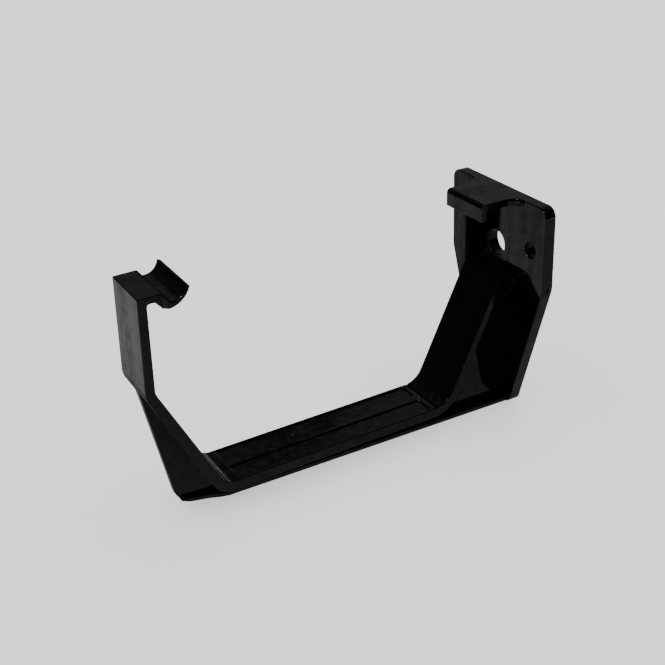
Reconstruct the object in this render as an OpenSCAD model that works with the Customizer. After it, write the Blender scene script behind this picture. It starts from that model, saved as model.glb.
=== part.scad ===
// Gutter bracket: one moulding that screws to the fascia and carries a square-line gutter.
// Frame: the origin is the centre of the middle screw hole on the wall face, +Y points into the
// wall, +Z up, and X = 0 is the middle plane, so the seat and the front arm lie at -Y.
// The sub-parts are drawn from the front face of the plate (y = 0) and from the underside of the
// flange (z = 0), and the whole is moved to the origin at the end.
// Side outlines are [y, z] and plate outlines [x, z], each corner with its radius.

/* [Wall plate] */
// Width of the plate above its taper
plate_w = 45; // [36:0.5:60]
// Thickness of the plate
plate_t = 3.8; // [3:0.1:6]
// Height of the top edge above the seat floor
plate_top_h = 62.9; // [58:0.1:75]
// Height above the seat floor where the sides start to taper
plate_taper_h = 37; // [30:0.5:42]
// Width of the plate at its lower end
plate_foot_w = 17; // [14:0.5:24]
// Height of the lower end above the underside of the flange
plate_foot_z = 2.1; // [0.5:0.1:4]
// Radius of the two top corners
plate_top_r = 3; // [1:0.5:5]
// Radius where each side turns into the taper
plate_shoulder_r = 9; // [2:0.5:14]
// Radius of the two lower corners
plate_foot_r = 3; // [1:0.5:6]

/* [Screw holes] */
// Diameter of the middle hole
middle_hole_d = 8; // [5:0.1:9]
// Height of the middle hole above the seat floor
middle_hole_h = 45.4; // [43:0.1:50]
// Diameter of the side hole
side_hole_d = 4.8; // [3:0.1:6]
// Distance of the side hole from the middle plane
side_hole_x = 16.1; // [13:0.1:17]
// Height of the side hole above the seat floor
side_hole_h = 48.3; // [43:0.1:54]

/* [Rear hook] */
// Width of the hook
hook_w = 17.7; // [10:0.1:24]
// Reach of the hook from the plate to the outer face of its lip
hook_reach = 12.3; // [9:0.1:18]
// Thickness of the ledge of the hook
hook_ledge_t = 2.3; // [1.6:0.1:3.5]
// Thickness of the hanging lip
hook_lip_t = 1.8; // [1.2:0.1:3]
// Height of the lip from its lower edge to the top of the ledge
hook_lip_h = 5.4; // [4.2:0.1:8]
// Radius of the outer upper edge of the hook
hook_edge_r = 1.4; // [0.3:0.1:2]
// Radius in plan where the ledge runs into the plate
hook_root_r = 4; // [0.5:0.1:6]

/* [Seat] */
// Width of the strap
strap_w = 17.6; // [12:0.1:26]
// Height of the seat floor above the underside of the flange at the plate
seat_z = 9.85; // [8:0.05:14]
// Clear distance between the plate and the front arm at the top
seat_w = 115.6; // [105:0.1:135]
// Length of the flat seat floor between its two bends
seat_floor_l = 75.3; // [60:0.1:95]
// Thickness of the seat floor
floor_t = 3.1; // [2.2:0.1:4]
// Depth of the step beside the plate
step_d = 5.6; // [3:0.1:8]
// Height of the step above the seat floor
step_h = 37.05; // [30:0.05:40]
// Thickness of the step
step_t = 3; // [2:0.1:4]
// Radius under the step where it runs into the plate
step_root_r = 4.5; // [1:0.1:6]
// Distance in Y over which the rear slope rises
rear_run = 18.6; // [12:0.1:26]
// Thickness of the rear slope
rear_t = 2.4; // [2:0.1:4]
// Inner radius of the rear bend
rear_bend_r = 7; // [1:0.1:9]
// Radius under the step where it turns into the rear slope
step_heel_r = 1.2; // [0.4:0.1:3]

/* [Seat relief] */
// Depth of the two shallow channels in the seat floor
channel_depth = 0.5; // [0.2:0.1:1]
// Width of the middle rib between the channels
channel_rib_w = 2.5; // [1.5:0.1:5]
// Width of the plain margin outside each channel
channel_margin = 0.9; // [0.6:0.1:3]
// Distance from the rear bend line to the channels
channel_rear_gap = 5.5; // [3:0.1:10]
// Distance from the front bend line to the channels
channel_front_gap = 4.3; // [2:0.1:10]
// Corner radius of the channels
channel_r = 1.2; // [0.4:0.1:2]
// Width of the witness groove across the strap at the rear bend
groove_w = 0.6; // [0.3:0.1:1]
// Depth of the witness groove
groove_depth = 0.25; // [0.1:0.05:0.5]
// Distance from the rear bend line to the witness groove
groove_gap = 3.6; // [2:0.1:4.5]

/* [Front arm] */
// Height of the knee of the arm above the seat floor
knee_h = 35.05; // [28:0.05:42]
// Thickness of the slanted part
front_t = 3; // [2.2:0.1:4]
// Inner radius of the front bend
front_bend_r = 4; // [1:0.1:6]
// Outer radius of the front bend
front_outer_r = 6; // [2:0.1:8]
// Radius of the knee
knee_r = 3; // [1:0.5:6]
// Distance by which the arm leans inwards from the knee to its top
arm_lean = 0.85; // [0:0.05:3]
// Thickness of the arm at the knee
arm_foot_t = 2.85; // [2.2:0.05:4]
// Thickness of the arm at its top
arm_top_t = 2.5; // [2:0.05:4]
// Height of the top of the arm above the seat floor
arm_top_h = 62.85; // [55:0.05:70]

/* [Front catch] */
// Thickness of the ledge at the top of the arm
catch_ledge_t = 2; // [1.5:0.1:3]
// Depth of the ledge behind the arm
catch_ledge_d = 4.3; // [3.5:0.1:7]
// Distance in Y over which the top of the ledge drops into the trough
catch_drop_run = 1.35; // [0.8:0.05:2]
// Distance in Y over which the underside of the ledge drops to the heel
catch_heel_run = 1.9; // [1:0.1:3]
// Width of the curved catch finger
catch_w = 19.7; // [18:0.1:28]
// Outer radius of the catch finger
catch_r = 7.1; // [6:0.1:8.5]
// Inner radius of the trough of the finger
catch_in_r = 4; // [3.6:0.05:4.8]
// Height of the bottom of the trough above the bottom of the finger
catch_root_t = 1.9; // [1.4:0.1:2.4]
// Thickness of the finger at its tip
catch_tip_t = 1.15; // [0.5:0.05:1.3]
// Height of the outer axis of the finger above the top of the arm
catch_axis_up = 2.8; // [2:0.1:3.5]
// Angle of the finger tip below the horizontal through its outer axis
catch_tip_angle = 17; // [10:1:30]
// Radius of the small inner corners of the hook, the arm and the catch
fillet_r = 0.8; // [0.3:0.1:1.2]

/* [Web and flange] */
// Thickness of the middle web
web_t = 2.4; // [1.6:0.1:4]
// Width of the bottom flange
flange_w = 8.8; // [6:0.1:14]
// Thickness of the bottom flange
flange_t = 1.5; // [1:0.1:3]
// Rise of the underside of the flange from the plate to the front bend
flange_rise = 2.2; // [0:0.1:3]
// Distance from the front bend to the tip of the toe
toe_l = 12.3; // [8:0.1:16]
// Height of the underside of the flange at the tip of the toe
toe_z = 4.6; // [2.5:0.1:6]
// Width of the flange at the tip of the toe
toe_w = 5; // [2.6:0.1:8]
// Distance below the knee at which the web ends
web_head_gap = 2.4; // [1:0.1:8]
// Radius of the lower front corner of the web
toe_r = 4; // [1:0.5:8]
// Inner radius of the flange where it bends up into the toe
flange_bend_r = 10.5; // [4:0.5:20]
// Distance before the front bend at which the flange starts to narrow
flange_narrow_l = 2.5; // [1:0.5:6]
// Radius in plan where the flange starts to narrow
flange_narrow_r = 4; // [1:0.5:8]
// Distance from the front bend to the neck of the toe
toe_neck_l = 3; // [1:0.5:6]
// Width of the toe at its neck
toe_neck_w = 6.4; // [4:0.1:9]
// Radius in plan of the neck
toe_neck_r = 6; // [1:0.5:10]
// Radius of the two front corners of the toe
toe_corner_r = 1; // [0.3:0.1:1.2]
// Length over which the underside of the toe curves up to its edge
toe_curl_l = 3; // [2:0.5:5]
// Height of that curve
toe_curl_h = 1; // [0.5:0.1:2]

/* [Hidden] */
$fn = 48;
arc_steps = 8;
skin = [0.07, 0.07, 0.075];
overlap = 0.6;

// Heights and distances that follow from the sizes above.
plate_top = seat_z + plate_top_h;
plate_taper_z = seat_z + plate_taper_h;
step_z = seat_z + step_h;
knee_z = seat_z + knee_h;
arm_top_z = seat_z + arm_top_h;
rear_foot_y = -(step_d + rear_run);
front_foot_y = rear_foot_y - seat_floor_l;
knee_y = -(seat_w + arm_lean);
arm_top_y = -seat_w;
flange_front_y = front_foot_y;
toe_y = front_foot_y - toe_l;

// ---- plane geometry ----
function unit(v) = v / norm(v);
function left_of(v) = [-v[1], v[0]];
function angle_of(v) = atan2(v[1], v[0]);
function turn(a) = (a + 900) % 360 - 180;

// Point where the line through p along u meets the line through q along v.
function meet(p, u, q, v) =
    let (w = q - p, cross_uv = u[0] * v[1] - u[1] * v[0])
    p + u * ((w[0] * v[1] - w[1] * v[0]) / cross_uv);

// Points of an arc from angle a over a sweep.
function arc(c, r, a, sweep, n = arc_steps) =
    [for (i = [0 : n]) c + r * [cos(a + sweep * i / n), sin(a + sweep * i / n)]];

// Arc that rounds corner p between its neighbours, limited by the length of both edges.
function round_corner(before, p, after, r) =
    let (
        u = unit(before - p),
        v = unit(after - p),
        half = acos(max(-1, min(1, u * v))) / 2,
        room = 0.49 * min(norm(before - p), norm(after - p)),
        rr = min(r, room * tan(half)),
        c = p + unit(u + v) * rr / sin(half),
        from = angle_of(p + u * rr / tan(half) - c),
        to = angle_of(p + v * rr / tan(half) - c)
    )
    arc(c, rr, from, turn(to - from));

// Outline from corners [a, b, radius]; a corner without a radius stays sharp.
function rounded(corners) =
    let (n = len(corners), at = [for (c = corners) [c[0], c[1]]])
    [for (i = [0 : n - 1])
        each (corners[i][2] > 0
            ? round_corner(at[(i + n - 1) % n], at[i], at[(i + 1) % n], corners[i][2])
            : [at[i]])];

function corner(p, r) = [p[0], p[1], r];

// Extrudes a [y, z] outline along X, centred on the middle plane.
module across(w) {
    translate([-w / 2, 0, 0])
        rotate([90, 0, 90])
            linear_extrude(w)
                children();
}

// Extrudes an [x, z] outline from the front face of the plate to its back.
module through_plate() {
    translate([0, plate_t, 0])
        rotate([90, 0, 0])
            linear_extrude(plate_t)
                children();
}

// ---- wall plate ----
module plate() {
    w = plate_w / 2;
    f = plate_foot_w / 2;
    through_plate()
        polygon(rounded([
            [f, plate_foot_z, plate_foot_r],
            [w, plate_taper_z, plate_shoulder_r],
            [w, plate_top, plate_top_r],
            [-w, plate_top, plate_top_r],
            [-w, plate_taper_z, plate_shoulder_r],
            [-f, plate_foot_z, plate_foot_r]
        ]));
}

module screw_hole(d, x, h) {
    translate([x, plate_t + 1, seat_z + h])
        rotate([90, 0, 0])
            cylinder(d = d, h = plate_t + 2);
}

module screw_holes() {
    screw_hole(middle_hole_d, 0, middle_hole_h);
    screw_hole(side_hole_d, side_hole_x, side_hole_h);
}

// ---- rear hook: a ledge flush with the top of the plate, with a lip that hangs down ----
module hook() {
    intersection() {
        across(hook_w + 4 * hook_root_r)
            hook_section();
        translate([0, 0, plate_top - hook_lip_h])
            linear_extrude(hook_lip_h)
                hook_plan();
    }
}

module hook_section() {
    ledge_z = plate_top - hook_ledge_t;
    lip_z = plate_top - hook_lip_h;
    lip_in = -hook_reach + hook_lip_t;
    polygon(rounded([
        [overlap, plate_top, 0],
        [-hook_reach, plate_top, hook_edge_r],
        [-hook_reach, lip_z, 0],
        [lip_in, lip_z, 0],
        [lip_in, ledge_z, fillet_r],
        [overlap, ledge_z, 0]
    ]));
}

// Plan of the hook: its two sides run into the plate with a fillet.
module hook_plan() {
    w = hook_w / 2;
    polygon(rounded([
        [w, -hook_reach, 0],
        [w, 0, hook_root_r],
        [w + 2 * hook_root_r, 0, 0],
        [w + 2 * hook_root_r, overlap, 0],
        [-w - 2 * hook_root_r, overlap, 0],
        [-w - 2 * hook_root_r, 0, 0],
        [-w, 0, hook_root_r],
        [-w, -hook_reach, 0]
    ]));
}

// ---- strap: step, rear slope, seat floor, slanted front and arm, as one bent band ----
step_edge = [-step_d, step_z];
rear_foot = [rear_foot_y, seat_z];
front_foot = [front_foot_y, seat_z];
knee = [knee_y, knee_z];
arm_top = [arm_top_y, arm_top_z];

along = [-1, 0];
rear_dir = unit(rear_foot - step_edge);
front_dir = unit(knee - front_foot);
arm_face_foot = knee - [arm_foot_t, 0];
arm_face_top = arm_top - [arm_top_t, 0];
arm_face_dir = unit(arm_face_top - arm_face_foot);

under_step = [0, step_z - step_t];
under_rear = rear_foot + left_of(rear_dir) * rear_t;
under_floor = [0, seat_z - floor_t];
under_front = front_foot + left_of(front_dir) * front_t;

outer_step = meet(under_step, along, under_rear, rear_dir);
outer_rear = meet(under_rear, rear_dir, under_floor, along);
outer_front = meet(under_floor, along, under_front, front_dir);
outer_knee = meet(under_front, front_dir, arm_face_foot, arm_face_dir);

module strap() {
    across(strap_w)
        polygon(rounded([
            [overlap, step_z, 0],
            corner(step_edge, 0),
            corner(rear_foot, rear_bend_r),
            corner(front_foot, front_bend_r),
            corner(knee, knee_r),
            [arm_top_y, ledge_under_z, fillet_r],
            [ledge_start_y + 0.5, ledge_under_z, 0],
            [ledge_start_y + 0.5, arm_top_z, 0],
            corner(arm_face_top, 0),
            corner(outer_knee, knee_r + front_t),
            corner(outer_front, front_outer_r),
            corner(outer_rear, rear_bend_r + rear_t),
            corner(outer_step, step_heel_r),
            [0, step_z - step_t, step_root_r],
            [0, step_z - step_t - 2 * step_root_r, 0],
            [overlap, step_z - step_t - 2 * step_root_r, 0]
        ]));
}

// One shallow channel, drawn in plan on the seat floor.
module channel() {
    x0 = channel_rib_w / 2;
    x1 = strap_w / 2 - channel_margin;
    y0 = front_foot_y + channel_front_gap;
    y1 = rear_foot_y - channel_rear_gap;
    translate([0, 0, seat_z - channel_depth])
        linear_extrude(channel_depth + 1)
            polygon(rounded([
                [x0, y0, channel_r],
                [x1, y0, channel_r],
                [x1, y1, channel_r],
                [x0, y1, channel_r]
            ]));
}

module seat_relief() {
    for (side = [0, 1])
        mirror([side, 0, 0])
            channel();
    translate([-strap_w / 2 - 1, rear_foot_y - groove_gap - groove_w / 2, seat_z - groove_depth])
        cube([strap_w + 2, groove_w, groove_depth + 1]);
}

// ---- front catch: the end of the ledge drops into a trough, and a finger curves up from it ----
ledge_end_y = arm_top_y + catch_ledge_d;
ledge_under_z = arm_top_z - catch_ledge_t;
ledge_start_y = ledge_end_y - catch_heel_run - 1;
heel_y = ledge_end_y - 0.2;
catch_axis = [ledge_end_y + 0.5, arm_top_z + catch_axis_up];
tip_out = catch_axis + catch_r * [cos(catch_tip_angle), -sin(catch_tip_angle)];
tip_in = catch_axis + (catch_r - catch_tip_t) * [cos(catch_tip_angle), -sin(catch_tip_angle)];
trough_z = catch_axis[1] - catch_r + catch_root_t + catch_in_r;
trough_y = tip_in[0] - sqrt(pow(catch_in_r, 2) - pow(tip_in[1] - trough_z, 2));

// Angle below a circle's centre line at a distance dy from its centre.
function low_angle(r, dy) = 270 + asin(dy / r);

module catch_section() {
    heel_a = low_angle(catch_r, heel_y - catch_axis[0]);
    drop_a = low_angle(catch_in_r, ledge_end_y + catch_drop_run - trough_y);
    tip_a = 360 - catch_tip_angle;
    rim_a = 360 + angle_of(tip_in - [trough_y, trough_z]);
    outer = arc(catch_axis, catch_r, heel_a, tip_a - heel_a, 14);
    inner = arc([trough_y, trough_z], catch_in_r, rim_a, drop_a - rim_a, 14);
    polygon(rounded(concat(
        [
            [ledge_start_y, arm_top_z, 0],
            [ledge_start_y, ledge_under_z, 0],
            [heel_y - catch_heel_run, ledge_under_z, fillet_r]
        ],
        [for (p = outer) corner(p, 0)],
        [for (p = inner) corner(p, 0)],
        [[ledge_end_y, arm_top_z, fillet_r]]
    )));
}

// Plan of the catch: as wide as the strap at the ledge, then the wider finger.
module catch_plan() {
    ledge = strap_w / 2;
    finger = catch_w / 2;
    front_y = catch_axis[0] + catch_r + 1;
    polygon(rounded([
        [ledge, ledge_start_y - 1, 0],
        [ledge, heel_y + 0.2, 0.6],
        [finger, heel_y + 1.2, 0.6],
        [finger, front_y, 0],
        [-finger, front_y, 0],
        [-finger, heel_y + 1.2, 0.6],
        [-ledge, heel_y + 0.2, 0.6],
        [-ledge, ledge_start_y - 1, 0]
    ]));
}

module catch() {
    intersection() {
        across(catch_w)
            catch_section();
        translate([0, 0, arm_top_z - catch_r])
            linear_extrude(2 * catch_r)
                catch_plan();
    }
}

// ---- middle web and bottom flange ----
flange_rear = [plate_t, 0];
flange_bend = [flange_front_y, flange_rise];
toe_tip = [toe_y, toe_z];
web_head = meet(outer_knee, front_dir, [0, knee_z - web_head_gap], along);

module web() {
    across(web_t)
        polygon(rounded([
            [plate_t, flange_t / 2, 0],
            [plate_t, step_z - step_t - step_root_r, 0],
            [overlap, step_z - step_t / 2, 0],
            corner(outer_step + [0.5, 0.8], 0),
            corner(outer_rear + [0, floor_t / 2], 0),
            corner(outer_front + [0, floor_t / 2], 0),
            corner(web_head + [front_t / 2, 0], 0),
            corner(web_head, 0),
            corner(toe_tip - [0, 0.2], toe_r),
            corner(flange_bend + [0, flange_t / 2], 0)
        ]));
}

module flange() {
    w = flange_w / 2;
    neck = toe_neck_w / 2;
    t = toe_w / 2;
    narrow_y = flange_front_y + flange_narrow_l;
    neck_y = flange_front_y - toe_neck_l;
    intersection() {
        across(flange_w)
            polygon(rounded([
                [plate_t, 0, 0],
                [plate_t, flange_t, 0],
                corner(flange_bend + [0, flange_t], flange_bend_r),
                corner(toe_tip + [1.6, 0.5], 0),
                corner(toe_tip + [0.6, 0.1], 0.5),
                corner(toe_tip + [toe_curl_l, -toe_curl_h], toe_curl_l),
                corner(flange_bend, flange_bend_r + flange_t)
            ]));
        translate([0, 0, -1])
            linear_extrude(toe_z + flange_t + 2)
                polygon(rounded([
                    [w, plate_t, 0],
                    [w, narrow_y, flange_narrow_r],
                    [neck, neck_y, toe_neck_r],
                    [t, toe_y, toe_corner_r],
                    [-t, toe_y, toe_corner_r],
                    [-neck, neck_y, toe_neck_r],
                    [-w, narrow_y, flange_narrow_r],
                    [-w, plate_t, 0]
                ]));
    }
}

module bracket() {
    color(skin)
        translate([0, -plate_t, -(seat_z + middle_hole_h)])
            difference() {
                union() {
                    plate();
                    hook();
                    strap();
                    catch();
                    web();
                    flange();
                }
                screw_holes();
                seat_relief();
            }
}

bracket();
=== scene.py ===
# %% [markdown]
# # A moulded gutter bracket
# This lesson dresses a one-piece plastic gutter bracket. The exact solid comes from the CAD model
# and fixes every size. Blender adds what a drawing leaves out: edges softened by the mould, a
# gloss that is not quite even, and the fine scuffs and dust that black plastic always shows.

# %% Load the frame
import bpy, bmesh, math
from mathutils import Matrix, Vector


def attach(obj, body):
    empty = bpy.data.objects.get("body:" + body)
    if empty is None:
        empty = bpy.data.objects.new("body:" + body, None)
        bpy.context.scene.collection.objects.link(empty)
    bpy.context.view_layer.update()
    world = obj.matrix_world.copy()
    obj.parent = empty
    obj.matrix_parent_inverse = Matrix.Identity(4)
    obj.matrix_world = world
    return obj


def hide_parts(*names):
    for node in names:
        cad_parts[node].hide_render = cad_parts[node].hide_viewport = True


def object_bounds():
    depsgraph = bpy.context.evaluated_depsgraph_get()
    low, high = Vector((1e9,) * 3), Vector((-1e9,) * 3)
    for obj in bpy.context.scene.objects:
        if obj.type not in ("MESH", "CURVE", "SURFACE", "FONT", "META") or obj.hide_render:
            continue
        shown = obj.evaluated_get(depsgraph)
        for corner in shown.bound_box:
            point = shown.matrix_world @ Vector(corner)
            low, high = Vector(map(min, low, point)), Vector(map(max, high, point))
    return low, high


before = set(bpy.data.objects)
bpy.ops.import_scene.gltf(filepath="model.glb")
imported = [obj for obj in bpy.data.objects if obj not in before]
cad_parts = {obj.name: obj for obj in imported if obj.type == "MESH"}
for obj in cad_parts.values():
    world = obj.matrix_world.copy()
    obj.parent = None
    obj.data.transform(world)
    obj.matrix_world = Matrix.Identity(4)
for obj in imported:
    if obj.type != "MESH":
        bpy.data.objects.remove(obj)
cad_box = [list(corner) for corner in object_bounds()]
print("CAD box in mm:", [[round(v * 1000, 1) for v in corner] for corner in cad_box])

# %% [markdown]
# ## The camera
# The camera comes first, so that every piece can be judged from the angle it will be seen from.
# It stands in front of the arm, to the right and above, and is turned a few degrees about its
# own line of sight. A rotation matrix is the plain way to write that: its columns are the
# camera's right, its up, and the direction that points back at the lens.

# %% Place the camera
MM = 0.001
CAMERA_PLACE = (254.9, -201.6, 141.0)
CAMERA_AZIMUTH, CAMERA_ELEVATION, CAMERA_ROLL = 61.33, 28.01, -2.85
CAMERA_LENS, CAMERA_SENSOR = 61.63, 36.0
CAMERA_NEAREST = 10.0 * MM


def outward(azimuth, elevation):
    """The direction that leads from the part to a thing at these angles, given in degrees."""
    az, el = math.radians(azimuth), math.radians(elevation)
    return Vector((math.sin(az) * math.cos(el), -math.cos(az) * math.cos(el), math.sin(el)))


def camera_at(place_mm, azimuth, elevation, roll, lens_mm):
    az, ro = math.radians(azimuth), math.radians(roll)
    back = outward(azimuth, elevation)
    right = Vector((math.cos(az), math.sin(az), 0))
    up = back.cross(right)
    tilted_right = right * math.cos(ro) + up * math.sin(ro)
    tilted_up = up * math.cos(ro) - right * math.sin(ro)
    data = bpy.data.cameras.new("camera")
    data.lens = lens_mm
    data.sensor_width = CAMERA_SENSOR
    data.clip_start = CAMERA_NEAREST
    camera = bpy.data.objects.new("camera", data)
    bpy.context.scene.collection.objects.link(camera)
    turn = Matrix((tilted_right, tilted_up, back)).transposed().to_4x4()
    camera.matrix_world = Matrix.Translation(Vector(place_mm) * MM) @ turn
    bpy.context.scene.camera = camera
    return camera


camera = camera_at(CAMERA_PLACE, CAMERA_AZIMUTH, CAMERA_ELEVATION, CAMERA_ROLL, CAMERA_LENS)
print("camera at", [round(v, 4) for v in camera.location], "lens", camera.data.lens)

# %% [markdown]
# ## The moulding
# The bracket is one injection moulding. Its shape is already right in the CAD node, so the piece
# starts as a copy of it and nothing is modelled twice. The node's mesh is loose triangles: the
# copy is merged, and its flat areas are dissolved back into whole faces, because an edge can
# only be rounded cleanly where it is a real edge and not the side of a sliver.

# %% Helpers for editing by hand
def only(piece):
    bpy.ops.object.select_all(action="DESELECT")
    piece.select_set(True)
    bpy.context.view_layer.objects.active = piece


def count(piece):
    mesh = piece.data
    mesh.calc_loop_triangles()
    print(piece.name, "faces", len(mesh.polygons), "triangles", len(mesh.loop_triangles))


# %% Copy, merge and clean the solid
MERGE_DISTANCE = 0.002 * MM
FLAT_ANGLE = math.radians(0.6)

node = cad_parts["bracket"]
body = bpy.data.objects.new("bracket_body", node.data.copy())
bpy.context.scene.collection.objects.link(body)
only(body)
bpy.ops.object.mode_set(mode="EDIT")
bpy.ops.mesh.select_all(action="SELECT")
bpy.ops.mesh.remove_doubles(threshold=MERGE_DISTANCE)
bpy.ops.mesh.dissolve_limited(angle_limit=FLAT_ANGLE)
bpy.ops.object.mode_set(mode="OBJECT")
count(body)

# %% [markdown]
# ## Soft edges
# No moulded edge is sharp: the cutter leaves a small radius in the steel, and the skin pulls in
# as it cools. A Bevel modifier could round them all, but it would also round the inner corners
# and pinch where thin walls meet. So the outer edges alone are picked by their angle, and one
# bevel in edit mode rounds them. Each rounded strip keeps a mark on its faces, so that the
# finish can treat it as an edge later.

# %% Pick and round the outer edges
EDGE_RADIUS = 0.28 * MM
EDGE_STEPS = 3
SHARP_ANGLE = math.radians(32)


def pick_outer_edges(piece, sharp_angle):
    shape = bmesh.new()
    shape.from_mesh(piece.data)
    for part in (*shape.verts, *shape.edges, *shape.faces):
        part.select = False
    picked = 0
    for edge in shape.edges:
        if edge.is_manifold and edge.is_convex and edge.calc_face_angle() > sharp_angle:
            edge.select_set(True)
            picked += 1
    shape.to_mesh(piece.data)
    shape.free()
    return picked


only(body)
picked = pick_outer_edges(body, SHARP_ANGLE)
bpy.ops.object.mode_set(mode="EDIT")
bpy.ops.mesh.select_mode(type="EDGE")
bpy.ops.mesh.bevel(offset=EDGE_RADIUS, segments=EDGE_STEPS, affect="EDGES",
                   clamp_overlap=False, loop_slide=True)
bpy.ops.object.mode_set(mode="OBJECT")
print("outer edges rounded:", picked)

# %% Mark the rounded strips
edge_mark = body.data.attributes.new("rounded_edge", "FLOAT", "FACE")
for face, mark in zip(body.data.polygons, edge_mark.data):
    mark.value = 1.0 if face.select else 0.0
print("faces on rounded edges:", sum(1 for mark in edge_mark.data if mark.value > 0.5))

# %% [markdown]
# ## Smooth shading
# The curves of the catch and of the rounded edges have to shine as one surface, and the flat
# walls must not bend their reflections near an edge. Shading by angle joins the curves, and
# normals weighted by face size keep the large flats flat.

# %% Smooth the shading
SMOOTH_ANGLE = math.radians(35)
FLATNESS = 100

only(body)
bpy.ops.object.shade_smooth_by_angle(angle=SMOOTH_ANGLE)
flats = body.modifiers.new("flat_faces_stay_flat", "WEIGHTED_NORMAL")
flats.weight = FLATNESS
flats.keep_sharp = True
bpy.ops.object.modifier_apply(modifier=flats.name)
count(body)

# %% [markdown]
# ## The piece on the frame
# The bracket is one rigid body that stands still, so the piece rides on the root. It fills the
# same space as the CAD node, and both in one place would flicker, so it stands in for the node.

# %% Hang it on the frame
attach(body, "root")
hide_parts("bracket")

# %% [markdown]
# ## Gloss black plastic
# Black gloss plastic has almost no colour of its own: what is seen is the room mirrored in it.
# So the shader is a near-black base under a smooth skin, and its life comes from small
# differences in height, roughness and sheen. Three effects carry it, and each is a node group,
# so the polished skin and the satin of the seat channels share them with their own numbers.

# %% Helpers for any node
def node_in(tree, kind, links=(), **settings):
    made = tree.nodes.new(kind)
    for key, value in settings.items():
        if key in made.bl_rna.properties:
            setattr(made, key, value)
        else:
            made.inputs[key.replace("_", " ")].default_value = value
    for socket, source in links:
        tree.links.new(source, made.inputs[socket])
    return made


def feed(tree, socket, value):
    if isinstance(value, (int, float)):
        socket.default_value = value
    else:
        tree.links.new(value, socket)


# %% Helpers for groups
def new_group(name, inputs, outputs):
    group = bpy.data.node_groups.new(name, "ShaderNodeTree")
    for label, value in inputs.items():
        socket = group.interface.new_socket(label, in_out="INPUT", socket_type="NodeSocketFloat")
        socket.default_value = value
    for label in outputs:
        group.interface.new_socket(label, in_out="OUTPUT", socket_type="NodeSocketFloat")
    return group, group.nodes.new("NodeGroupInput"), group.nodes.new("NodeGroupOutput")


def place_group(tree, group, values):
    made = tree.nodes.new("ShaderNodeGroup")
    made.node_tree = group
    for label, value in values.items():
        made.inputs[label].default_value = value
    return made


def show_group(group):
    print("group", group.name, [socket.name for socket in group.interface.items_tree])


# %% Helpers for sums and ramps
def maths(tree, operation, first, second):
    made = tree.nodes.new("ShaderNodeMath")
    made.operation = operation
    feed(tree, made.inputs[0], first)
    feed(tree, made.inputs[1], second)
    return made.outputs[0]


def times(tree, first, second):
    return maths(tree, "MULTIPLY", first, second)


def add_up(tree, first, *others):
    total = first
    for part in others:
        total = maths(tree, "ADD", total, part)
    return total


def ramp(tree, source, low, high, to_low=0.0, to_high=1.0):
    made = tree.nodes.new("ShaderNodeMapRange")
    made.interpolation_type = "SMOOTHSTEP"
    for label, value in (("Value", source), ("From Min", low), ("From Max", high),
                         ("To Min", to_low), ("To Max", to_high)):
        feed(tree, made.inputs[label], value)
    return made.outputs["Result"]


# %% Helpers for patterns
def object_place(tree):
    return tree.nodes.new("ShaderNodeTexCoord").outputs["Object"]


def scale_for(tree, length):
    """The scale that gives a pattern this length, in millimetres."""
    return maths(tree, "DIVIDE", 1 / MM, length)


def noise(tree, place, scale, detail, roughness=0.5):
    made = node_in(tree, "ShaderNodeTexNoise", [("Vector", place)],
                   Detail=detail, Roughness=roughness)
    feed(tree, made.inputs["Scale"], scale)
    return made.outputs["Fac"]


# %% [markdown]
# ## The wavy skin
# A moulded face is never as flat as the steel it came from. Thick places sink, the melt leaves
# flow lines along its path, and the skin is finely pebbled. One noise could stand for all of
# it, but each has its own size, so three are added: a slow one for the sink, one drawn out
# along Y and Z for the flow, since the melt runs along the strap and up the plate, and a fine
# one for the orange peel. They are heights in millimetres, because the bump node works in real
# sizes. The gloss is uneven too: it follows the flow in streaks, with small blotches between,
# and slow areas of the skin are a little duller. Those leave the group as masks.

# %% Group: moulded waves
WAVE_DETAIL, WAVE_ROUGHNESS = 1.5, 0.45
FLOW_LENGTH = 45.0
STREAK_RANGE, STREAK_SHARE = (0.36, 0.64), 0.55
BLOTCH_LENGTH, BLOTCH_DETAIL, BLOTCH_ROUGHNESS = 3.0, 3.0, 0.6
BLOTCH_RANGE, BLOTCH_SHARE = (0.40, 0.60), 0.45
DULL_AREA_SCALE, DULL_AREA_DETAIL, DULL_AREA_RANGE = 85.0, 3.0, (0.3, 0.7)


def drawn_along_flow(group, place, flow_width):
    stretch = node_in(group, "ShaderNodeCombineXYZ", [("X", scale_for(group, flow_width))],
                      Y=1 / (FLOW_LENGTH * MM), Z=1 / (FLOW_LENGTH * MM))
    return node_in(group, "ShaderNodeVectorMath", [(0, place), (1, stretch.outputs[0])],
                   operation="MULTIPLY").outputs[0]


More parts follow.
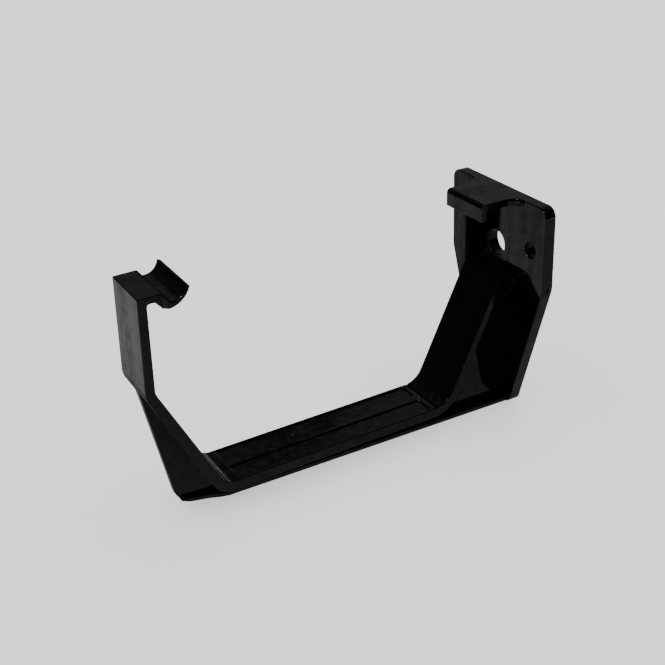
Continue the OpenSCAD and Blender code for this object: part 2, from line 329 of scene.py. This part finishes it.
def make_waves():
    group, given, result = new_group(
        "moulded_waves",
        {"Sink Length": 9.0, "Sink Height": 0.025, "Flow Width": 2.6, "Flow Height": 0.008,
         "Peel Length": 1.1, "Peel Height": 0.0014},
        ["Height", "Sheen", "Dullness"])
    place = object_place(group)
    along_flow = drawn_along_flow(group, place, given.outputs["Flow Width"])
    sink = noise(group, place, scale_for(group, given.outputs["Sink Length"]),
                 WAVE_DETAIL, WAVE_ROUGHNESS)
    flow = noise(group, along_flow, 1.0, WAVE_DETAIL, WAVE_ROUGHNESS)
    peel = noise(group, place, scale_for(group, given.outputs["Peel Length"]),
                 WAVE_DETAIL, WAVE_ROUGHNESS)
    height = add_up(group, times(group, sink, given.outputs["Sink Height"]),
                    times(group, flow, given.outputs["Flow Height"]),
                    times(group, peel, given.outputs["Peel Height"]))
    streaks = ramp(group, flow, *STREAK_RANGE)
    blotches = ramp(group, noise(group, place, 1 / (BLOTCH_LENGTH * MM), BLOTCH_DETAIL,
                                 BLOTCH_ROUGHNESS), *BLOTCH_RANGE)
    sheen = add_up(group, times(group, streaks, STREAK_SHARE),
                   times(group, blotches, BLOTCH_SHARE))
    dullness = ramp(group, noise(group, place, DULL_AREA_SCALE, DULL_AREA_DETAIL),
                    *DULL_AREA_RANGE)
    group.links.new(height, result.inputs["Height"])
    group.links.new(sheen, result.inputs["Sheen"])
    group.links.new(dullness, result.inputs["Dullness"])
    return group


waves_group = make_waves()
show_group(waves_group)

# %% [markdown]
# ## Scuffs
# A bracket is tipped into a box with a hundred others, and gloss plastic shows every touch as a
# hair-fine line. The lines could be drawn one by one, but a noise stretched hard along one
# direction gives as many as are wanted: only its highest crests are kept, in two directions,
# and a slow noise leaves whole areas untouched.

# %% Group: fine scuffs
SCUFF_TURNS = ((0.5, 0.2, 0.7), (-0.4, 0.6, -0.5))
CREST_RANGE = (0.74, 0.80)
TOUCHED_SCALE, TOUCHED_DETAIL, TOUCHED_RANGE = 60.0, 1.0, (0.45, 0.62)


def scuffs_one_way(group, place, size, turn):
    stretched = node_in(group, "ShaderNodeMapping", [("Vector", place), ("Scale", size)],
                        Rotation=turn)
    return ramp(group, noise(group, stretched.outputs[0], 1.0, 0.0), *CREST_RANGE)


def make_scuffs():
    group, given, result = new_group(
        "fine_scuffs", {"Length": 14.0, "Width": 0.22, "Amount": 0.6}, ["Mask"])
    place = object_place(group)
    along = scale_for(group, given.outputs["Length"])
    across = scale_for(group, given.outputs["Width"])
    size = node_in(group, "ShaderNodeCombineXYZ", [("X", across), ("Y", along), ("Z", across)])
    one_way, other_way = (scuffs_one_way(group, place, size.outputs[0], turn)
                          for turn in SCUFF_TURNS)
    lines = maths(group, "MAXIMUM", one_way, other_way)
    touched = ramp(group, noise(group, place, TOUCHED_SCALE, TOUCHED_DETAIL), *TOUCHED_RANGE)
    mask = times(group, times(group, lines, touched), given.outputs["Amount"])
    group.links.new(mask, result.inputs["Mask"])
    return group


scuffs_group = make_scuffs()
show_group(scuffs_group)

# %% [markdown]
# ## Dust
# Dust settles on what faces up. Loose grains could be modelled, but a pattern is lighter and
# lies closer. Small Voronoi cells give separate grains: a grain shows only near a cell's
# centre, and a random value per cell drops most of them. A soft film between them comes from a
# noise. The slope of the surface decides how much stays.

# %% Group: settled dust
SLOPE_RANGE, LEAST_SETTLED = (0.5, 0.97), 0.04
KEPT_CELLS_RANGE = (0.80, 0.84)
FILM_SCALE, FILM_DETAIL, FILM_RANGE = 420.0, 5.0, (0.42, 0.66)


def make_dust():
    group, given, result = new_group(
        "settled_dust", {"Grain Spacing": 2.2, "Grain Size": 0.10, "Film": 0.5},
        ["Grains", "Film"])
    place = object_place(group)
    facing = node_in(group, "ShaderNodeSeparateXYZ",
                     [("Vector", group.nodes.new("ShaderNodeNewGeometry").outputs["Normal"])])
    settles = ramp(group, facing.outputs["Z"], *SLOPE_RANGE, LEAST_SETTLED)
    cells = node_in(group, "ShaderNodeTexVoronoi", [
        ("Vector", place), ("Scale", scale_for(group, given.outputs["Grain Spacing"]))])
    grain = ramp(group, cells.outputs["Distance"], given.outputs["Grain Size"], 0.0)
    cell_value = node_in(group, "ShaderNodeSeparateXYZ", [("Vector", cells.outputs["Color"])])
    kept = ramp(group, cell_value.outputs["X"], *KEPT_CELLS_RANGE)
    grains = times(group, times(group, grain, kept), settles)
    veil = ramp(group, noise(group, place, FILM_SCALE, FILM_DETAIL), *FILM_RANGE)
    film = times(group, times(group, veil, settles), given.outputs["Film"])
    group.links.new(grains, result.inputs["Grains"])
    group.links.new(film, result.inputs["Film"])
    return group


dust_group = make_dust()
show_group(dust_group)

# %% [markdown]
# ## Putting the skin together
# Both finishes are the same plastic, so one function builds them and only the numbers differ.
# Colour moves from the black of the plastic to the grey of dust. Roughness rises in the dull
# areas and with scuffs, film, grains and worn edges. The uneven sheen could be a change of
# colour, but a thin clear coat whose weight follows the sheen mask brightens the reflection
# itself, as on the real skin. All heights meet in one Bump node.

# %% Colour of the skin
BLACK = (0.0007, 0.0007, 0.0008, 1)
DUST_GREY = (0.15, 0.16, 0.148, 1)
FILM_COVER, SCUFF_COVER = 0.018, 0.012
MIX_FIRST_COLOUR, MIX_SECOND_COLOUR, MIX_COLOUR_RESULT = 6, 7, 2


def skin_colour(tree, scuff, settled):
    soil = add_up(tree, settled.outputs["Grains"],
                  times(tree, settled.outputs["Film"], FILM_COVER),
                  times(tree, scuff.outputs["Mask"], SCUFF_COVER))
    colour = node_in(tree, "ShaderNodeMix", [("Factor", soil)], data_type="RGBA")
    colour.inputs[MIX_FIRST_COLOUR].default_value = BLACK
    colour.inputs[MIX_SECOND_COLOUR].default_value = DUST_GREY
    return colour.outputs[MIX_COLOUR_RESULT]


# %% Roughness of the skin
SMOOTHEST, DULLEST = 0.75, 1.35
SCUFF_ROUGHNESS, FILM_ROUGHNESS, GRAIN_ROUGHNESS, EDGE_ROUGHNESS = 0.25, 0.08, 0.5, 0.09


def skin_roughness(tree, roughness, wave, scuff, settled):
    rubbed = node_in(tree, "ShaderNodeAttribute", attribute_name="rounded_edge")
    dull = times(tree, wave.outputs["Dullness"], roughness * (DULLEST - SMOOTHEST))
    return add_up(tree, dull, roughness * SMOOTHEST,
                  times(tree, scuff.outputs["Mask"], SCUFF_ROUGHNESS),
                  times(tree, settled.outputs["Film"], FILM_ROUGHNESS),
                  times(tree, settled.outputs["Grains"], GRAIN_ROUGHNESS),
                  times(tree, rubbed.outputs["Fac"], EDGE_ROUGHNESS))


# %% Height of the skin
SCUFF_DEPTH, GRAIN_HEIGHT = 0.004, 0.03


def skin_normal(tree, wave, scuff, settled):
    height = add_up(tree, wave.outputs["Height"],
                    times(tree, scuff.outputs["Mask"], -SCUFF_DEPTH),
                    times(tree, settled.outputs["Grains"], GRAIN_HEIGHT))
    bump = node_in(tree, "ShaderNodeBump", [("Height", height)], Strength=1.0, Distance=MM)
    return bump.outputs["Normal"]


# %% Build a plastic
PLASTIC_IOR = 1.5


def make_plastic(name, roughness, sheen, waves, scuffs, dust):
    material = bpy.data.materials.new(name)
    material.use_nodes = True
    tree = material.node_tree
    wave = place_group(tree, waves_group, waves)
    scuff = place_group(tree, scuffs_group, scuffs)
    settled = place_group(tree, dust_group, dust)
    shader = tree.nodes["Principled BSDF"]
    for socket, value in (
            ("Base Color", skin_colour(tree, scuff, settled)),
            ("Metallic", 0.0),
            ("Roughness", skin_roughness(tree, roughness, wave, scuff, settled)),
            ("IOR", PLASTIC_IOR),
            ("Coat Weight", times(tree, wave.outputs["Sheen"], sheen)),
            ("Coat Roughness", roughness),
            ("Normal", skin_normal(tree, wave, scuff, settled))):
        feed(tree, shader.inputs[socket], value)
    return material


gloss = make_plastic(
    "gloss_black_plastic", roughness=0.055, sheen=0.7,
    waves={"Sink Length": 9.0, "Sink Height": 0.025, "Flow Width": 2.6, "Flow Height": 0.008,
           "Peel Length": 1.1, "Peel Height": 0.0014},
    scuffs={"Length": 14.0, "Width": 0.22, "Amount": 0.6},
    dust={"Grain Spacing": 2.2, "Grain Size": 0.10, "Film": 0.5})
satin = make_plastic(
    "satin_black_plastic", roughness=0.16, sheen=0.2,
    waves={"Sink Length": 9.0, "Sink Height": 0.02, "Flow Width": 1.8, "Flow Height": 0.008,
           "Peel Length": 0.6, "Peel Height": 0.003},
    scuffs={"Length": 18.0, "Width": 0.25, "Amount": 0.5},
    dust={"Grain Spacing": 1.8, "Grain Size": 0.10, "Film": 0.6})
print("finishes:", gloss.name, satin.name)

# %% [markdown]
# ## Satin channels
# The floors of the two shallow channels in the seat are less glossy than the rib beside them,
# perhaps because raised bars in a mould are hard to polish. The floors could be a piece of
# their own, but one piece with two materials has no joint to hide: the channel faces are picked
# by their height and take the second material.

# %% Give the channel floors the satin finish
SEAT_FLOOR_HEIGHT = -45.4 * MM
CHANNEL_DEPTH = 0.5 * MM
HEIGHT_SLACK = 0.05 * MM
FACES_UP = 0.99
GLOSS_SLOT, SATIN_SLOT = 0, 1


def in_channel(face):
    height_off = abs(face.center.z - (SEAT_FLOOR_HEIGHT - CHANNEL_DEPTH))
    return height_off < HEIGHT_SLACK and face.normal.z > FACES_UP


body.data.materials.clear()
body.data.materials.append(gloss)
body.data.materials.append(satin)
for face in body.data.polygons:
    face.material_index = SATIN_SLOT if in_channel(face) else GLOSS_SLOT
print("satin faces:", sum(face.material_index == SATIN_SLOT for face in body.data.polygons))

# %% [markdown]
# ## Floor
# A black mirror shows its surroundings, so the room is built as carefully as the part. The
# bracket stands on a pale sheet of paper, and its walls mirror that sheet in different tones.
# A lamp for each side could do it, but would make the ground uneven too. So the camera sees
# plain pale paper, and the reflections see a glowing sheet whose strength changes with the
# place. Real paper can't do that: it is a trick that suits this camera. From below, the floor
# is clear.

# %% Helpers for the room
def flat_card(name, size, place, facing):
    bpy.ops.object.select_all(action="DESELECT")
    bpy.ops.mesh.primitive_plane_add(size=1, location=(0, 0, 0))
    card = bpy.context.object
    card.name = name
    turn = (Vector(facing) - Vector(place)).to_track_quat("Z", "Y").to_matrix().to_4x4()
    card.data.transform(Matrix.Translation(place) @ turn @ Matrix.Diagonal((*size, 1, 1)))
    return card


def new_glow(tree, colour, strength):
    lamp = tree.nodes.new("ShaderNodeEmission")
    lamp.inputs["Color"].default_value = (*colour, 1)
    feed(tree, lamp.inputs["Strength"], strength)
    return lamp.outputs[0]


# %% How bright the floor is in the reflections
RIGHT_TONE, LEFT_TONE, FRONT_TONE = 0.185, 0.26, 0.36
SIDE_FADE = (0.0, -0.06)
FRONT_FADE = (-0.135, -0.165)
REACH_FADE = (0.34, 0.27)
BEHIND_FADE, BEHIND_GAIN = (0.11, 0.17), 3.0


def mirrored_floor_strength(tree):
    place = object_place(tree)
    spot = node_in(tree, "ShaderNodeSeparateXYZ", [("Vector", place)])
    reach = node_in(tree, "ShaderNodeVectorMath", [(0, place)], operation="LENGTH")
    beside = ramp(tree, spot.outputs["X"], *SIDE_FADE, RIGHT_TONE, LEFT_TONE)
    beside_and_front = ramp(tree, spot.outputs["Y"], *FRONT_FADE, beside, FRONT_TONE)
    lit = ramp(tree, reach.outputs["Value"], *REACH_FADE)
    behind = ramp(tree, spot.outputs["Y"], *BEHIND_FADE, 1.0, BEHIND_GAIN)
    return times(tree, times(tree, beside_and_front, lit), behind)


# %% Paper for the floor
PAPER_TONE, PAPER_GLOW = 0.28, 0.78
REFLECTED_TINT = (0.95, 0.985, 1.0)


def make_paper():
    paper = bpy.data.materials.new("pale_floor")
    paper.use_nodes = True
    tree = paper.node_tree
    shader = tree.nodes["Principled BSDF"]
    shader.inputs["Base Color"].default_value = (PAPER_TONE, PAPER_TONE, PAPER_TONE, 1)
    shader.inputs["Emission Color"].default_value = (1, 1, 1, 1)
    shader.inputs["Emission Strength"].default_value = PAPER_GLOW
    shader.inputs["Roughness"].default_value = 1.0
    shader.inputs["Specular IOR Level"].default_value = 0.0
    reflected = new_glow(tree, REFLECTED_TINT, mirrored_floor_strength(tree))
    seen = tree.nodes.new("ShaderNodeLightPath").outputs["Is Camera Ray"]
    from_above = node_in(tree, "ShaderNodeMixShader",
                         [(0, seen), (1, reflected), (2, shader.outputs[0])])
    clear = tree.nodes.new("ShaderNodeBsdfTransparent")
    from_below = tree.nodes.new("ShaderNodeNewGeometry").outputs["Backfacing"]
    one_sided = node_in(tree, "ShaderNodeMixShader",
                        [(0, from_below), (1, from_above.outputs[0]), (2, clear.outputs[0])])
    tree.links.new(one_sided.outputs[0], tree.nodes["Material Output"].inputs["Surface"])
    return paper


# %% Lay the floor
FLOOR_SIZE = (6, 6)

low = cad_box[0][2]
floor = flat_card("floor", FLOOR_SIZE, (0, 0, low), (0, 0, low + 1))
floor.data.materials.append(make_paper())
print("floor at", round(low / MM, 2), "mm")

# %% [markdown]
# ## Room
# The room is dark in the reflections, so that the plastic stays black where nothing is placed
# for it to mirror, and pale to the camera, so that no dark horizon stands behind the floor.

# %% Dark room
ROOM_MIRRORED, ROOM_SEEN = 0.02, 0.98

world = bpy.data.worlds.new("studio")
world.use_nodes = True
sky = world.node_tree
background = sky.nodes["Background"]
background.inputs["Color"].default_value = (1, 1, 1, 1)
seen = sky.nodes.new("ShaderNodeLightPath").outputs["Is Camera Ray"]
feed(sky, background.inputs["Strength"], ramp(sky, seen, 0, 1, ROOM_MIRRORED, ROOM_SEEN))
bpy.context.scene.world = world
print("room strength:", ROOM_MIRRORED, "mirrored,", ROOM_SEEN, "seen")

# %% [markdown]
# ## Cards
# Every flat of the bracket mirrors one part of the room. Lamps could stand there, but a card
# has a clear edge and a plain tone, so it is easier to aim. The rear card lights the hook and
# the rear of the strap, and the side and catch cards the catch and the front of the strap. The
# low strip, with a little help from the middle card, draws the line at the front bend, and the
# spark card gives the sparks on the rounded edges and at the holes. A black card close to the
# seat hides the floor from part of the plate, and makes the dark band there. Only reflections
# see them.

# %% Glowing cards
# name, azimuth and elevation in degrees, distance, size, tint, strength
CARDS = (
    ("rear_card", -150, 30, 1.2, (1.24, 1.0), (1.0, 0.99, 0.91), 0.112),
    ("side_card", -100, 30, 1.3, (0.8, 1.0), (0.90, 1.0, 0.93), 0.033),
    ("catch_card", -98, 24, 1.2, (0.5, 0.45), (0.96, 1.0, 0.93), 0.083),
    ("middle_card", -133, 14, 1.15, (0.36, 0.09), (1.0, 0.97, 0.92), 0.3),
    ("low_strip", -124, 7, 1.1, (0.18, 0.03), (1.0, 0.98, 0.95), 2.2),
    ("spark_card", 21, 50, 0.8, (0.1, 0.1), (1.0, 1.0, 1.0), 60.0),
)
CARDS_FACE = Vector((0, -0.06, 0))


def finish_card(card, colour, strength, material_name):
    material = bpy.data.materials.new(material_name)
    material.use_nodes = True
    tree = material.node_tree
    tree.nodes.remove(tree.nodes["Principled BSDF"])
    tree.links.new(new_glow(tree, colour, strength),
                   tree.nodes["Material Output"].inputs["Surface"])
    card.data.materials.append(material)
    card.visible_camera = False
    card.visible_shadow = False
    card.visible_diffuse = False


for name, azimuth, elevation, distance, size, colour, strength in CARDS:
    place = CARDS_FACE + distance * outward(azimuth, elevation)
    finish_card(flat_card(name, size, place, CARDS_FACE), colour, strength, name + "_glow")
print("cards:", [card[0] for card in CARDS])

# %% Black card beside the plate
DARK_CARD_SIZE = (0.0205, 0.044)
DARK_CARD_X, DARK_CARD_Y = -0.0552, -0.040

middle_height = low + DARK_CARD_SIZE[1] / 2
dark = flat_card("dark_card", DARK_CARD_SIZE, (DARK_CARD_X, DARK_CARD_Y, middle_height),
                 (DARK_CARD_X, 0, middle_height))
finish_card(dark, (0, 0, 0), 0.0, "dark_card_face")
print("black card top at", round((low + DARK_CARD_SIZE[1]) / MM, 1), "mm")

# %% [markdown]
# ## Lamp
# One wide lamp overhead lights the paper evenly and leaves only a soft shadow close to the
# part. A smaller lamp would be simpler to mirror but would cast a hard shadow. The gloss does
# not mirror this one, because the cards already decide what it shows.

# %% Ceiling lamp
CEILING_PLACE, CEILING_WIDTH, CEILING_POWER = (0.1, -0.1, 1.1), 4.0, 161

data = bpy.data.lights.new("ceiling", "AREA")
data.shape = "SQUARE"
data.size = CEILING_WIDTH
data.energy = CEILING_POWER
ceiling = bpy.data.objects.new("ceiling", data)
ceiling.location = CEILING_PLACE
ceiling.visible_glossy = False
bpy.context.scene.collection.objects.link(ceiling)
print("ceiling lamp:", CEILING_WIDTH, "m wide,", CEILING_POWER, "W")

# %% [markdown]
# ## Last update
# Rounding an edge may only take away, so the dressed box has to lie inside the CAD box. This
# cell only updates the scene; the dressed box is not measured here.

# %% Finish
bpy.context.view_layer.update()
